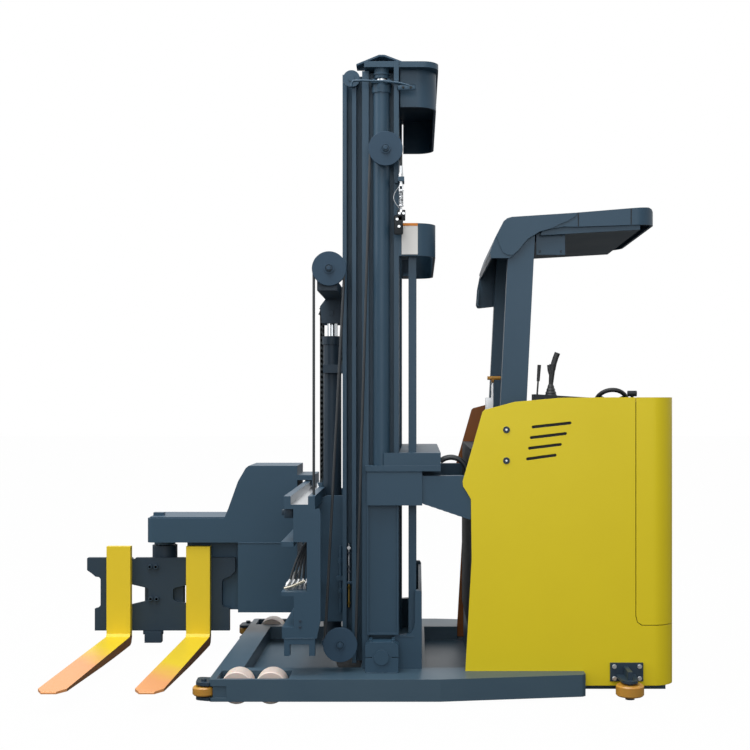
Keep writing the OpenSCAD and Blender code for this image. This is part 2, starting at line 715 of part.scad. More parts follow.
module body_panel(s) {
    intersection() {
        linear_extrude(1400) difference() {
            panel_plan(0);
            panel_plan(panel_t);
        }
        xz_plate(s > 0 ? seam / 2 : -600, s > 0 ? 600 : -seam / 2) difference() {
            polygon(concat(panel_front, [[door_x - seam, body_top], [door_x - seam, door_z + 40],
                [door_x + 4, door_z + 12], [door_x + 24, door_z - seam], [1500, door_z - seam], [1500, 72], [1440, 52]]));
            if (s < 0) for (v = vents) hull() {
                translate([seen_x(v[0]) + 6, seen_z(v[1])]) circle(d = vent_h);
                translate([seen_x(v[2]) - 6, seen_z(v[3])]) circle(d = vent_h);
            }
            // entry on the far side
            if (s > 0) polygon([[840, 310], [840, 1400], [door_x - 60, 1400], [door_x - 60, 310]]);
        }
    }
}

module body_left() {
    color(yellow) body_panel(-1);
    color(dark) for (f = fastener) bar_y(30, f[0], f[1], -body_half_w - 3, -body_half_w + 1);
}

module body_right() {
    color(yellow) body_panel(1);
}

module rear_door() {
    color(yellow) intersection() {
        linear_extrude(1400) difference() {
            panel_plan(0);
            panel_plan(panel_t);
        }
        xz_plate(-600, 600) polygon([[door_x, body_top], [door_x, door_z + 42], [door_x + 6, door_z + 14],
            [door_x + 26, door_z], [1500, door_z], [1500, body_top - 12], [1420, body_top]]);
    }
    // hinge leaves on the far side
    color(dark) for (z = [420, 1180]) {
        difference() {
            rod_z(24, hinge_x, hinge_y, z, z + 40);
            rod_z(12 + 2 * bore_gap, hinge_x, hinge_y, z - 1, z + 41);
        }
        box([hinge_x + 9, body_half_w - seat, z], [hinge_x + 50, hinge_y + 4, z + 40]);
    }
}

/* cabin */
hinge_x = 1262;
hinge_y = 599;
tub_z = 300;
tub_x = [800, 1376];
tub_wall = 1288;

module cabin_tub() {
    g = panel_gap;
    wide = body_half_w - panel_t;
    color(dark) {
        // floor with the bearing boss of the steered drive
        difference() {
            union() {
                box([tub_x[0] + 6 + g, -wide, tub_z], [1240, wide, tub_z + 6]);
                rod_z(130, drive_x, 0, tub_z - 8, tub_z + 40);
            }
            rod_z(80 + 2 * bore_gap, drive_x, 0, tub_z - 20, tub_z + 60);
        }
        box([1240 + g, -480, tub_z], [tub_x[1], 480, tub_z + 6]);
        // bulkhead and rear wall
        box([tub_x[0], -wide, tub_z], [tub_x[0] + 6, wide, tub_wall]);
        box([tub_x[1] - 6, -480, tub_z + 6 + g], [tub_x[1], 480, 1240]);
        // far wall stub behind the entry, and the walls beside the rear door
        box([1190, 560, tub_z + 6 + g], [1239, wide, 1240]);
        for (s = sides) side_box(s, [1240, 470, tub_z + 6 + g], [tub_x[1] - 6 - g, 476, s > 0 ? 1240 : 1180]);
        // cover over the motor
        difference() {
            box([drive_x - 120, -120, tub_z + 6 + g], [drive_x + 120, 120, 640]);
            box([drive_x - 115, -115, tub_z], [drive_x + 115, 115, 634]);
        }
        // legs down to the chassis
        for (s = sides) side_box(s, [820, 470, 250], [1370, 490, tub_z - g]);
    }
    // hinge pins of the rear door, on ears of the far panel
    color(dark) for (z = [420, 1180]) {
        rod_z(12, hinge_x, hinge_y, z - 16, z + 56);
        for (e = [z - 18, z + 46]) box([1239, hinge_y - 7, e], [hinge_x + 8, hinge_y + 8, e + 12]);
        box([1200, body_half_w - seat, z - 18], [hinge_x - 22, hinge_y + 8, z + 58]);
    }
}

case_z = [250, 1100];

module battery_case() {
    color(dark) {
        box([body_front - seat, -body_half_w + panel_t - seat, case_z[0] - seat],
            [tub_x[0] + seat, body_half_w - panel_t + seat, 860]);
        box([body_front - seat, -500, 860 - seat], [tub_x[0] + seat, 500, case_z[1]]);
        for (s = sides) side_box(s, [540, 499, 1000], [tub_x[0] + seat, body_half_w - panel_t + seat, 1040]);
    }
}

console_y = [-body_half_w + panel_t, -430];

// the console's outer form, which the controls stand on
module console_form() {
    box([tub_x[0] + 6, console_y[0], 1180], [1240, console_y[1], 1300]);
    box([1240, -572, 1180], [1320, console_y[1], 1310]);
    xz_plate(console_y[0], console_y[1]) polygon([[tub_x[0] + 6, 1299], [1052, 1299], [1052, 1330],
        [tub_x[0] + 6, 1345]]);
}

module console() {
    color(dark) {
        console_form();
        // pedestal down to the floor
        box([1190, -572, tub_z + 6], [1240, -490, 1181]);
        // knob beside the wheel
        rod_z(14, 1252, -500, 1309, 1340);
        translate([1232, -500, 1348]) rotate([0, 90, 0]) cylinder(d = 26, h = 40);
    }
}

module controls() {
    difference() {
        union() {
            steering_wheel();
            hand_levers();
        }
        console_form();
    }
    // bright bracket with an amber knob in front of the guard post
    color(steel) {
        box([640, -180, case_z[1] - seat], [646, -100, 1400]);
        box([612, -180, 1270], [646, -100, 1330]);
    }
    color(amber) translate([664, -140, 1424]) rotate([0, 90, 0]) translate([0, 0, -44]) cylinder(d = 18, h = 64);
    color(steel) hull() {
        translate([643, -140, 1398]) sphere(d = 14, $fn = 16);
        translate([650, -140, 1424]) sphere(d = 14, $fn = 16);
    }
}

// the row holds x, y and the heights of the foot and of the tip
lever = [831, -480, 1338, 1478];
stick = [886, -500, 1335, 1490];

module hand_levers() {
    color(black) {
        // thin lever with a sleeve
        translate([lever[0] - 5, lever[1], lever[2]]) rotate([0, 4, 0]) cylinder(d = 8, h = 80);
        translate([lever[0], lever[1], lever[2] + 66]) rotate([0, 4, 0]) cylinder(d1 = 14, d2 = 17, h = 74);
        // joystick with its bellows
        for (i = [0:3]) translate([stick[0], stick[1], stick[2] + i * 14]) cylinder(d1 = 62 - i * 10, d2 = 44 - i * 8, h = 14.2);
        translate([stick[0], stick[1], stick[2] + 50]) rotate([0, 5, 0]) cylinder(d1 = 20, d2 = 30, h = 95);
    }
}

wheel_c = [1172, -408, 1308];
wheel_tilt = -52;

module steering_wheel() {
    color(black) translate(wheel_c) rotate([wheel_tilt, 0, 0]) {
        rotate_extrude($fn = 64) translate([72, 0]) circle(d = 20, $fn = 20);
        for (a = [90, 210, 330]) rotate([0, 0, a]) translate([0, -7, -5]) cube([70, 14, 8]);
        cylinder(d = 44, h = 16, center = true);
        translate([0, 0, -36]) cylinder(d = 26, h = 32);
    }
}

/* overhead guard */
post_d = [guard_half_w - 70, guard_half_w];
lean = 0.05;
post_x = 662;
roof_line = [[617, 1958], [612, 1982], [637, 2054], [674, 2125], [690, 2138], [711, 2144], [1002, 2163], [1245, 2183],
    [1330, 2189], [1348, 2184], [1360, 2170], [1360, 2112], [1300, 2109], [1012, 2099], [945, 2100], [890, 2090],
    [833, 2075], [780, 2040], [740, 1990], [711, 1965], [700, 1958]];
roof_t = 9;
side_t = 12;
tail_r = 85;

module guard_posts() {
    foot_x = post_x + (case_z[1] - 1319) * lean;
    color(grey) for (s = sides) side_plate(s, post_d[0], post_d[1] - side_t) polygon([
        [foot_x, case_z[1]], [foot_x + post_w, case_z[1]], [post_x + post_w + 38, 2080],
        [post_x + post_w + 36, 2140], [723, 2134], [706, 2129], [post_x + 32, 1958]]);
}

module guard_plan(inset) {
    hull() {
        translate([560 + inset, -guard_half_w + inset]) square([1, 2 * (guard_half_w - inset)]);
        for (s = sides) translate([1360 - tail_r, s * (guard_half_w - tail_r)]) circle(r = tail_r - inset, $fn = 64);
    }
}

module guard_roof() {
    color(grey) {
        difference() {
            intersection() {
                xz_plate(-guard_half_w, guard_half_w) polygon(roof_line);
                linear_extrude(2300) guard_plan(0);
            }
            intersection() {
                translate([side_t, 0, -roof_t]) xz_plate(-guard_half_w + side_t, guard_half_w - side_t)
                    polygon(concat([[612, 1900], [612, 1982]], [for (i = [2:9]) roof_line[i]], [[1360, 1900]]));
                linear_extrude(2300) guard_plan(side_t);
            }
        }
        // longer plate on the far side
        side_plate(1, guard_half_w - side_t, guard_half_w) polygon([[660, 2080], [616, 1981], [600, 1900],
            [594, 1819], [600, 1806], [608, 1803], [690, 1812], [700, 1960], [711, 2060]]);
        side_plate(1, guard_half_w - 60, guard_half_w - side_t + seat) polygon([[606, 1900], [600, 1819], [606, 1812],
            [612, 1812], [606, 1824], [612, 1900]]);
        // lower closing panel with its side skirts
        xz_plate(-guard_half_w + side_t + 20, guard_half_w - side_t - 20) polygon([[840, 2062], [1290, 2088],
            [1290, 2100], [845, 2074]]);
        for (s = sides) side_plate(s, guard_half_w - side_t - 20 - seat, guard_half_w - side_t + seat) polygon([
            [840, 2062], [1290, 2088], [1290, 2125], [860, 2110]]);
        // lamp bracket on the near side
        side_box(-1, [824, 455, 1977], [955, 461, 2080]);
    }
}

/* guide rollers and their brackets */
stud_d = 24;

module guide_brackets() {
    color(dark) for (s = sides) {
        for (z = bracket_z) translate([0, 0, z]) linear_extrude(bracket_t) intersection() {
            hull() {
                translate([front_roller[0], s * (roller_out - front_roller[2] - 4)]) circle(r = 34);
                translate([base_x0, s * 698]) square([1, 120], center = true);
                translate([-660, s * 648]) circle(r = 18);
            }
            translate([base_x0 - 200, -800]) square([200, 1600]);
        }
        rod_z(stud_d, front_roller[0], s * (roller_out - front_roller[2]), 30, 112);
        // rear plate with its arm and rib
        side_box(s, [1139, body_half_w - seat, 74], [1285, body_half_w + 12, 155]);
        side_box(s, [rear_roller[0] - 10, body_half_w + 11, 92], [rear_roller[0] + 10, roller_out - 50, 140]);
        hull() {
            translate([rear_roller[0], s * (roller_out - rear_roller[2]), 92]) cylinder(d = 70, h = 12);
            side_box(s, [rear_roller[0] - 45, body_half_w, 92], [rear_roller[0] + 45, body_half_w + 2, 104]);
        }
        rod_z(stud_d, rear_roller[0], s * (roller_out - rear_roller[2]), 26, 94);
        rod_z(40, rear_roller[0], s * (roller_out - rear_roller[2]), 20, 28);
    }
    color(steel) for (s = sides) for (x = [1156, 1268], z = [88, 141])
        bar_y(15, x, z, s > 0 ? body_half_w + 11 : -body_half_w - 18, s > 0 ? body_half_w + 18 : -body_half_w - 11);
}

// the row holds x, middle height, radius and thickness
module guide_roller(row, s) {
    color(amber) translate([row[0], s * (roller_out - row[2]), row[1] - row[3] / 2]) rotate_extrude($fn = 64)
        polygon([[stud_d / 2 + bore_gap, 0], [row[2] - 6, 0], [row[2], 6], [row[2], row[3] - 6], [row[2] - 6, row[3]],
            [stud_d / 2 + bore_gap, row[3]]]);
}

/* load wheels and drive */
module load_wheel(x, s) {
    color(cream) translate([x, s * load_y + load_w / 2, load_z]) rotate([90, 0, 0]) rotate_extrude($fn = 72)
        polygon([[axle_d / 2 + bore_gap, 0], [load_d / 2 - 4, 0], [load_d / 2, 4], [load_d / 2, load_w - 4],
            [load_d / 2 - 4, load_w], [axle_d / 2 + bore_gap, load_w]]);
}

drive_w = 90;
drive_axle = 40;

module drive_unit() {
    color(dark) {
        rod_z(80, drive_x, 0, 283, 347);
        rod_z(260, drive_x, 0, 262, 284);
        rod_z(104, drive_x, 0, tub_z + 46, tub_z + 60);
        rod_z(160, drive_x, 0, tub_z + 59, 600);
        for (s = sides) side_box(s, [drive_x - 45, drive_w / 2 + 7, 90], [drive_x + 45, drive_w / 2 + 25, 263]);
        bar_y(drive_axle, drive_x, drive_d / 2, -drive_w / 2 - 24, drive_w / 2 + 24);
    }
}

module drive_wheel() {
    color(cream) translate([drive_x, drive_w / 2, drive_d / 2]) rotate([90, 0, 0]) rotate_extrude($fn = 96)
        polygon([[drive_axle / 2 + bore_gap, 0], [drive_d / 2 - 6, 0], [drive_d / 2, 6], [drive_d / 2, drive_w - 6],
            [drive_d / 2 - 6, drive_w], [drive_axle / 2 + bore_gap, drive_w]]);
}

/* hoses from the mast cover into the body */
loop_d = 22;
loop_r = 73;
loop_c = [438, 985];
loop_a = 132;
loop_y = [-460, -430, -400];

module brace_hoses() {
    color(black) difference() {
        for (y = loop_y) translate([loop_c[0], y, loop_c[1]]) {
            rotate([90, 0, 0]) rotate_extrude(angle = loop_a) translate([loop_r, 0]) circle(d = loop_d);
            translate([loop_r, 0, -60]) cylinder(d = loop_d, h = 60.1);
        }
        // they end flush with the cover's rear wall
        box([brace_x1 - 40, -500, 1000], [brace_x1 + 0.2, -360, 1100]);
    }
}

// puts the middle of the whole width, fork tip to far roller, over the origin
module centred() translate([0, centre_y, 0]) children();

centred() base_frame();
centred() floor_tray();
centred() mast_feet();
centred() mast_outer();
centred() mast_brace();
centred() lift_cylinders();
centred() body_left();
centred() body_right();
centred() rear_door();
centred() cabin_tub();
centred() battery_case();
centred() console();
centred() controls();
centred() guard_posts();
centred() guard_roof();
centred() guide_brackets();
centred() drive_unit();
centred() drive_wheel();
centred() load_wheel(load_x[0], -1);  // load_wheel_1
centred() load_wheel(load_x[1], -1);  // load_wheel_2
centred() load_wheel(load_x[0], 1);  // load_wheel_3
centred() load_wheel(load_x[1], 1);  // load_wheel_4
centred() guide_roller(front_roller, -1);  // guide_roller_1
centred() guide_roller(front_roller, 1);  // guide_roller_2
centred() guide_roller(rear_roller, -1);  // guide_roller_3
centred() guide_roller(rear_roller, 1);  // guide_roller_4
centred() hose_disc(disc_top);  // hose_disc_top
centred() hose_disc(disc_low);  // hose_disc_low
centred() hose_disc(disc_head);  // hose_disc_head
centred() mast_middle();
centred() piston_rods();
centred() mast_inner();
centred() free_lift_cyl();
centred() crosshead();
centred() lift_chains();
centred() anchor_chains();
centred() carriage();
centred() swing_head();
centred() fork_plate();
centred() forks();
centred() hose_run_top();
centred() hose_run_up();
centred() hose_run_mid();
centred() hose_run_head();
centred() brace_hoses();
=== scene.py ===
"""Looks of a three-way forklift stacker: painted steel mast and frames, yellow panels, forks and hoses."""
import math

import bmesh
import bpy
from mathutils import Matrix, Vector


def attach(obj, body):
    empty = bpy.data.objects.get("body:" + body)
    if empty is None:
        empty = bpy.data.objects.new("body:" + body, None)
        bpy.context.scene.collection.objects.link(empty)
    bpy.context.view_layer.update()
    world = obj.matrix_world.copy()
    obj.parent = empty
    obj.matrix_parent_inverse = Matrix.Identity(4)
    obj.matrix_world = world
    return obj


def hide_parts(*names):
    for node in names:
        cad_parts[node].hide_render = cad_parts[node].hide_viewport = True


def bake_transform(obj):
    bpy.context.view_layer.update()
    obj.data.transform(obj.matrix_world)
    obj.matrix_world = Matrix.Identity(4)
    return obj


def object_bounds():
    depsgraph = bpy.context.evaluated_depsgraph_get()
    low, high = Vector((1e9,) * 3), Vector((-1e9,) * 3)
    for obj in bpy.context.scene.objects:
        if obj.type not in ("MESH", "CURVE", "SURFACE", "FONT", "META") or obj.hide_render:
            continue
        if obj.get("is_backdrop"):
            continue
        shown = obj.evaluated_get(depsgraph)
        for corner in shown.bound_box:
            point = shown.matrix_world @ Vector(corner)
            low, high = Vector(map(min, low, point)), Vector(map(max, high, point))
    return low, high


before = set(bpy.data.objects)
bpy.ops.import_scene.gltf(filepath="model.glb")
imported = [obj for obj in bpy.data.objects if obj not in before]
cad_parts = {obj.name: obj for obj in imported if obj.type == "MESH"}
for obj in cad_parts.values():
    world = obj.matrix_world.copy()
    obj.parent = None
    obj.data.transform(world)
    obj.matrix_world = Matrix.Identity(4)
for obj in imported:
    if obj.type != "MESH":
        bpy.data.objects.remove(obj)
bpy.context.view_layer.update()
MM = 0.001
CENTRE_Y = 67.5  # pieces are drawn from the middle of the side frames and moved by this much


# materials
def linear(hex_colour):
    """An sRGB hex colour as the linear RGBA that a shader takes."""
    out = []
    for i in (1, 3, 5):
        c = int(hex_colour[i:i + 2], 16) / 255
        out.append(c / 12.92 if c <= 0.04045 else ((c + 0.055) / 1.055) ** 2.4)
    return (*out, 1.0)


def add(tree, kind, links=None, **settings):
    """Adds a node, sets its properties and input values, and links its inputs to other nodes' outputs."""
    node = tree.nodes.new(kind)
    for key, value in settings.items():
        if hasattr(node, key):
            setattr(node, key, value)
    for socket, value in (links or {}).items():
        if hasattr(value, "is_output"):
            tree.links.new(value, node.inputs[socket])
        else:
            node.inputs[socket].default_value = value
    return node


def start_material(name, base, **shader):
    """A material with its Principled shader, and its tree, shader and place coordinates."""
    mat = bpy.data.materials.new(name)
    mat.use_nodes = True
    tree = mat.node_tree
    bsdf = tree.nodes["Principled BSDF"]
    bsdf.inputs["Base Color"].default_value = linear(base)
    for key, value in shader.items():
        bsdf.inputs[key.replace("_", " ")].default_value = value
    place = add(tree, "ShaderNodeTexCoord").outputs["Object"]
    return mat, tree, bsdf, place


def painted_steel(name, base, shade, rough, edge_mm=1.5):
    """Powder-coated plate: even colour with faint patches, fine orange peel and softened edges."""
    mat, tree, bsdf, place = start_material(name, base, Roughness=rough, Specular_IOR_Level=0.32)
    patches = add(tree, "ShaderNodeTexNoise", {"Vector": place, "Scale": 3.1, "Detail": 5.0, "Roughness": 0.55})
    mix = add(tree, "ShaderNodeMix", {"Factor": patches.outputs["Fac"]}, data_type="RGBA")
    mix.inputs[6].default_value = linear(base)
    mix.inputs[7].default_value = linear(shade)
    tree.links.new(mix.outputs[2], bsdf.inputs["Base Color"])
    # peel about 2.5 mm across, drawn coarser than the real film so that it shows
    peel = add(tree, "ShaderNodeTexNoise", {"Vector": place, "Scale": 400.0, "Detail": 2.0})
    sheen = add(tree, "ShaderNodeMapRange", {"Value": patches.outputs["Fac"], "To Min": rough - 0.05,
                                             "To Max": rough + 0.09})
    tree.links.new(sheen.outputs[0], bsdf.inputs["Roughness"])
    edge = add(tree, "ShaderNodeBevel", {"Radius": edge_mm * MM}, samples=4)
    bump = add(tree, "ShaderNodeBump", {"Height": peel.outputs["Fac"], "Normal": edge.outputs[0],
                                        "Strength": 0.05, "Distance": 0.0004})
    tree.links.new(bump.outputs[0], bsdf.inputs["Normal"])
    return mat


def worn_fork_steel(name, base, tip, rough):
    """Coated fork steel whose yellow has gone orange towards the tip, further back on the outer fork."""
    mat, tree, bsdf, place = start_material(name, base, Roughness=rough, Specular_IOR_Level=0.35)
    axes = add(tree, "ShaderNodeSeparateXYZ", {0: place})
    outer = add(tree, "ShaderNodeMath", {0: axes.outputs["X"], 1: 0.85, 2: axes.outputs["Y"]},
                operation="MULTIPLY_ADD")
    scuffs = add(tree, "ShaderNodeTexNoise", {"Vector": place, "Scale": 14.0, "Detail": 5.0})
    uneven = add(tree, "ShaderNodeMath", {0: scuffs.outputs["Fac"], 1: 0.16, 2: outer.outputs[0]},
                 operation="MULTIPLY_ADD")
    wear = add(tree, "ShaderNodeMapRange", {"Value": uneven.outputs[0], "From Min": -1.25, "From Max": -0.88,
                                            "To Min": 1.0, "To Max": 0.0})
    mix = add(tree, "ShaderNodeMix", {"Factor": wear.outputs[0]}, data_type="RGBA")
    mix.inputs[6].default_value = linear(base)
    mix.inputs[7].default_value = linear(tip)
    tree.links.new(mix.outputs[2], bsdf.inputs["Base Color"])
    bump = add(tree, "ShaderNodeBump", {"Height": scuffs.outputs["Fac"], "Strength": 0.08, "Distance": 0.0005})
    tree.links.new(bump.outputs[0], bsdf.inputs["Normal"])
    return mat


def cast_polyurethane(name, base, shade, rough):
    """Cast tread: cloudy, slightly glossy, with fine scuffs that run round."""
    mat, tree, bsdf, place = start_material(name, base, Roughness=rough, Subsurface_Weight=0.08)
    clouds = add(tree, "ShaderNodeTexNoise", {"Vector": place, "Scale": 22.0, "Detail": 6.0})
    mix = add(tree, "ShaderNodeMix", {"Factor": clouds.outputs["Fac"]}, data_type="RGBA")
    mix.inputs[6].default_value = linear(base)
    mix.inputs[7].default_value = linear(shade)
    tree.links.new(mix.outputs[2], bsdf.inputs["Base Color"])
    grain = add(tree, "ShaderNodeTexNoise", {"Vector": place, "Scale": 260.0, "Detail": 3.0})
    bump = add(tree, "ShaderNodeBump", {"Height": grain.outputs["Fac"], "Strength": 0.12, "Distance": 0.0006})
    tree.links.new(bump.outputs[0], bsdf.inputs["Normal"])
    return mat


def moulded_rubber(name, base, rough, grain_scale=300.0):
    """Hose jacket or grip rubber: nearly black, with a fine moulded grain."""
    mat, tree, bsdf, place = start_material(name, base, Roughness=rough)
    grain = add(tree, "ShaderNodeTexNoise", {"Vector": place, "Scale": grain_scale, "Detail": 4.0})
    shine = add(tree, "ShaderNodeMapRange", {"Value": grain.outputs["Fac"], "To Min": rough - 0.12,
                                             "To Max": rough + 0.12})
    tree.links.new(shine.outputs[0], bsdf.inputs["Roughness"])
    bump = add(tree, "ShaderNodeBump", {"Height": grain.outputs["Fac"], "Strength": 0.2, "Distance": 0.0005})
    tree.links.new(bump.outputs[0], bsdf.inputs["Normal"])
    return mat


def bare_metal(name, base, rough, stretch=(1.0, 1.0, 14.0)):
    """Plated or ground steel and brass: fine lines along the part, with uneven shine."""
    mat, tree, bsdf, place = start_material(name, base, Roughness=rough, Metallic=1.0)
    lay = add(tree, "ShaderNodeMapping", {"Vector": place, "Scale": stretch})
    lines = add(tree, "ShaderNodeTexNoise", {"Vector": lay.outputs[0], "Scale": 90.0, "Detail": 4.0})
    shine = add(tree, "ShaderNodeMapRange", {"Value": lines.outputs["Fac"], "To Min": rough - 0.08,
                                             "To Max": rough + 0.14})
    tree.links.new(shine.outputs[0], bsdf.inputs["Roughness"])
    bump = add(tree, "ShaderNodeBump", {"Height": lines.outputs["Fac"], "Strength": 0.08, "Distance": 0.0004})
    tree.links.new(bump.outputs[0], bsdf.inputs["Normal"])
    return mat


GREY = painted_steel("grey_coated_plate", "#334e62", "#2f495b", 0.42)
DECK = painted_steel("deck_coated_plate", "#3b5263", "#455b69", 0.36)
DARK = painted_steel("dark_coated_plate", "#2a3c4b", "#243543", 0.45)
DISC = painted_steel("disc_coated_plate", "#2c475c", "#284155", 0.5)
YELLOW = painted_steel("yellow_coated_sheet", "#eed822", "#e7cf1e", 0.36, 3.0)
FORK = worn_fork_steel("yellow_coated_fork", "#e8cc2e", "#e6a066", 0.4)
# painted shade: the yellow forks' +X side faces drawn darker and browner
FORK_SIDE_SHADE = painted_steel("brown_worn_fork_side", "#9a6a38", "#7d4f33", 0.5)
INNER = painted_steel("black_coated_inner", "#20262b", "#191e22", 0.6)
# yellow sheet with painted shade: orange-brown, for the far panel's shaded inner faces
SHADED_FAR_YELLOW = painted_steel("brown_coated_sheet", "#a9642b", "#8f5126", 0.36)
AMBER = cast_polyurethane("amber_roller_tread", "#c9963f", "#b9832f", 0.32)
CREAM = cast_polyurethane("cream_wheel_tread", "#e3d5cc", "#d8c7bb", 0.4)
HOSE = moulded_rubber("hose_jacket", "#23292e", 0.45)
GRIP = moulded_rubber("grip_rubber", "#16191b", 0.5, 500.0)
STEEL = bare_metal("zinc_plated_steel", "#c4c7ca", 0.3)
ROD = bare_metal("ground_rod_steel", "#b9bec2", 0.16)
CHAIN = bare_metal("oiled_chain_steel", "#3b4043", 0.42)
BRASS = bare_metal("brass_fitting", "#c7a65c", 0.3)
CREAM_PIPE = bare_metal("zinc_coated_pipe", "#d9d2c0", 0.4)
SIGN = painted_steel("white_enamel_plate", "#ecebe8", "#e4e2de", 0.4)
STRIP = painted_steel("orange_enamel_strip", "#e08a2c", "#d67f24", 0.4)
LENS = painted_steel("black_gloss_lens", "#0b0d10", "#0e1013", 0.08)


# mesh helpers
def to_matrix(place, axis):
    """A matrix that puts a shape made on +Z at a place in millimetres, with its +Z along axis."""
    turn = Vector((0, 0, 1)).rotation_difference(Vector(axis)).to_matrix().to_4x4()
    return Matrix.Translation(Vector(place)) @ turn


def drum(bm, place, axis, radius, height, sides=24, top=None):
    """A cylinder or cone on its base point; sizes in millimetres."""
    r2 = radius if top is None else top
    mat = to_matrix(place, axis) @ Matrix.Translation((0, 0, height / 2))
    return bmesh.ops.create_cone(bm, cap_ends=True, segments=sides, radius1=radius, radius2=r2, depth=height,
                                 matrix=mat)["verts"]


def in_metres(place):
    """A place in millimetres as the truck's own place in metres."""
    return (place[0] * MM, (place[1] + CENTRE_Y) * MM, place[2] * MM)


def block(bm, low, high, bevel=1.5):
    """A box between two corners in millimetres, with its edges rounded."""
    size = [b - a for a, b in zip(low, high)]
    middle = [(a + b) / 2 for a, b in zip(low, high)]
    verts = bmesh.ops.create_cube(bm, size=1, matrix=Matrix.Translation(middle) @ Matrix.Diagonal((*size, 1)))["verts"]
    if bevel:
        edges = {e for v in verts for e in v.link_edges}
        bmesh.ops.bevel(bm, geom=list(edges), offset=bevel, offset_type="OFFSET", segments=2, profile=0.5,
                        affect="EDGES", material=-1)


def sweep(bm, path, radius, sides=12):
    """A round bar of one radius along a path of points in millimetres, closed at both ends."""
    points = [Vector(p) for p in path]
    steps = [(points[min(i + 1, len(points) - 1)] - points[max(i - 1, 0)]).normalized() for i in range(len(points))]
    turn = Vector((0, 0, 1)).rotation_difference(steps[0]).to_matrix().to_4x4()
    ring = bmesh.ops.create_circle(bm, cap_ends=True, segments=sides, radius=radius,
                                   matrix=Matrix.Translation(points[0]) @ turn)["verts"]
    edges = list({e for v in ring for e in v.link_edges if e.other_vert(v) in ring})
    for i in range(1, len(points)):
        grown = bmesh.ops.extrude_edge_only(bm, edges=edges)["geom"]
        verts = [g for g in grown if isinstance(g, bmesh.types.BMVert)]
        edges = [g for g in grown if isinstance(g, bmesh.types.BMEdge) and all(v in verts for v in g.verts)]
        bend = steps[i - 1].rotation_difference(steps[i]).to_matrix().to_4x4()
        move = Matrix.Translation(points[i]) @ bend @ Matrix.Translation(-points[i - 1])
        bmesh.ops.transform(bm, matrix=move, verts=verts)
    bmesh.ops.holes_fill(bm, edges=edges, sides=sides)


def piece(name, bm, material, body, smooth=True):
    """Turns a bmesh in millimetres into a piece that rides on a body; body None leaves it free for blend."""
    bmesh.ops.translate(bm, vec=(0, CENTRE_Y, 0), verts=bm.verts)
    bmesh.ops.scale(bm, vec=(MM, MM, MM), verts=bm.verts)
    bmesh.ops.recalc_face_normals(bm, faces=bm.faces)
    mesh = bpy.data.meshes.new(name)
    bm.to_mesh(mesh)
    bm.free()
    obj = bpy.data.objects.new(name, mesh)
    bpy.context.scene.collection.objects.link(obj)
    mesh.materials.append(material)
    if smooth:
        mesh.shade_smooth()
        mesh.set_sharp_from_angle(angle=math.radians(35))
    if body:
        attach(obj, body)
    return obj


def arc(centre, radius, start, end, y, count=16):
    """Points on an arc in the x and z plane at one y; angles in degrees from +X towards +Z."""
    out = []
    for i in range(count + 1):
        a = math.radians(start + (end - start) * i / count)
        out.append((centre[0] + radius * math.cos(a), y, centre[1] + radius * math.sin(a)))
    return out


def line(a, b, count):
    """Evenly spaced points from a to b."""
    return [tuple(p + (q - p) * i / count for p, q in zip(a, b)) for i in range(count + 1)]


# finishes of the CAD nodes
FINISH = {
    "base_frame": DECK, "floor_tray": DECK, "mast_feet": GREY, "mast_outer": GREY, "mast_brace": GREY,
    "lift_cylinders": GREY, "body_left": YELLOW, "body_right": YELLOW, "rear_door": YELLOW,
    "cabin_tub": INNER, "battery_case": INNER, "console": INNER, "controls": GRIP, "guard_posts": GREY,
    "guard_roof": GREY, "guide_brackets": DARK, "drive_unit": INNER, "drive_wheel": CREAM,
    "hose_disc_top": DISC, "hose_disc_low": DISC, "hose_disc_head": DISC, "mast_middle": GREY,
    "piston_rods": ROD, "mast_inner": GREY, "free_lift_cyl": DARK, "crosshead": DARK, "carriage": GREY,
    "swing_head": GREY, "fork_plate": DARK, "forks": FORK, "brace_hoses": HOSE, "hose_run_top": HOSE,
    "hose_run_up": HOSE, "hose_run_mid": HOSE, "hose_run_head": HOSE, "lift_chains": CHAIN,
    "anchor_chains": CHAIN}
for name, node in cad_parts.items():
    finish = FINISH.get(name)
    if finish is None:
        finish = AMBER if name.startswith("guide_roller") else CREAM
    node.data.materials.clear()
    node.data.materials.append(finish)


def second_finish(name, material, low, high):
    """Faces of a CAD node whose middles lie in a box, in millimetres, take another finish."""
    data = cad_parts[name].data
    data.materials.append(material)
    index = len(data.materials) - 1
    for face in data.polygons:
        c = face.center / MM - Vector((0, CENTRE_Y, 0))
        if all(a <= v <= b for a, v, b in zip(low, c, high)):
            face.material_index = index


second_finish("mast_outer", SIGN, (210, -545, 1969), (290, -540.1, 2097.5))
second_finish("mast_outer", STRIP, (210, -546, 2097.5), (290, -540.1, 2111))
second_finish("mast_outer", DARK, (240, -470, 470), (284, 470, 1960))
second_finish("crosshead", ROD, (-157, -27, 880), (-105, 27, 1804))
second_finish("controls", STEEL, (600, -185, 1090), (647, -95, 1405))
second_finish("controls", AMBER, (610, -160, 1410), (690, -120, 1440))
second_finish("guide_brackets", STEEL, (1140, -610, 74), (1285, -598.1, 160))
second_finish("guide_brackets", STEEL, (1140, 598.1, 74), (1285, 610, 160))
second_finish("carriage", STEEL, (-275, -580, 483.5), (-249, -400, 545))
second_finish("carriage", STEEL, (-267, -689, 863.9), (-190, 689, 899))
# painted shade: the far yellow panel's inner faces and edges are coloured orange-brown
second_finish("body_right", SHADED_FAR_YELLOW, (500, 540, 100), (1440, 585.5, 1340))
second_finish("body_left", DARK, (660, -592, 1030), (700, -586.1, 1210))
# painted shade on the +X side faces of both forks
second_finish("forks", FORK_SIDE_SHADE, (-1199.5, -897, 50), (-1197.5, 420, 96.5))
second_finish("forks", FORK_SIDE_SHADE, (-788.5, -897, 50), (-786.5, 420, 96.5))

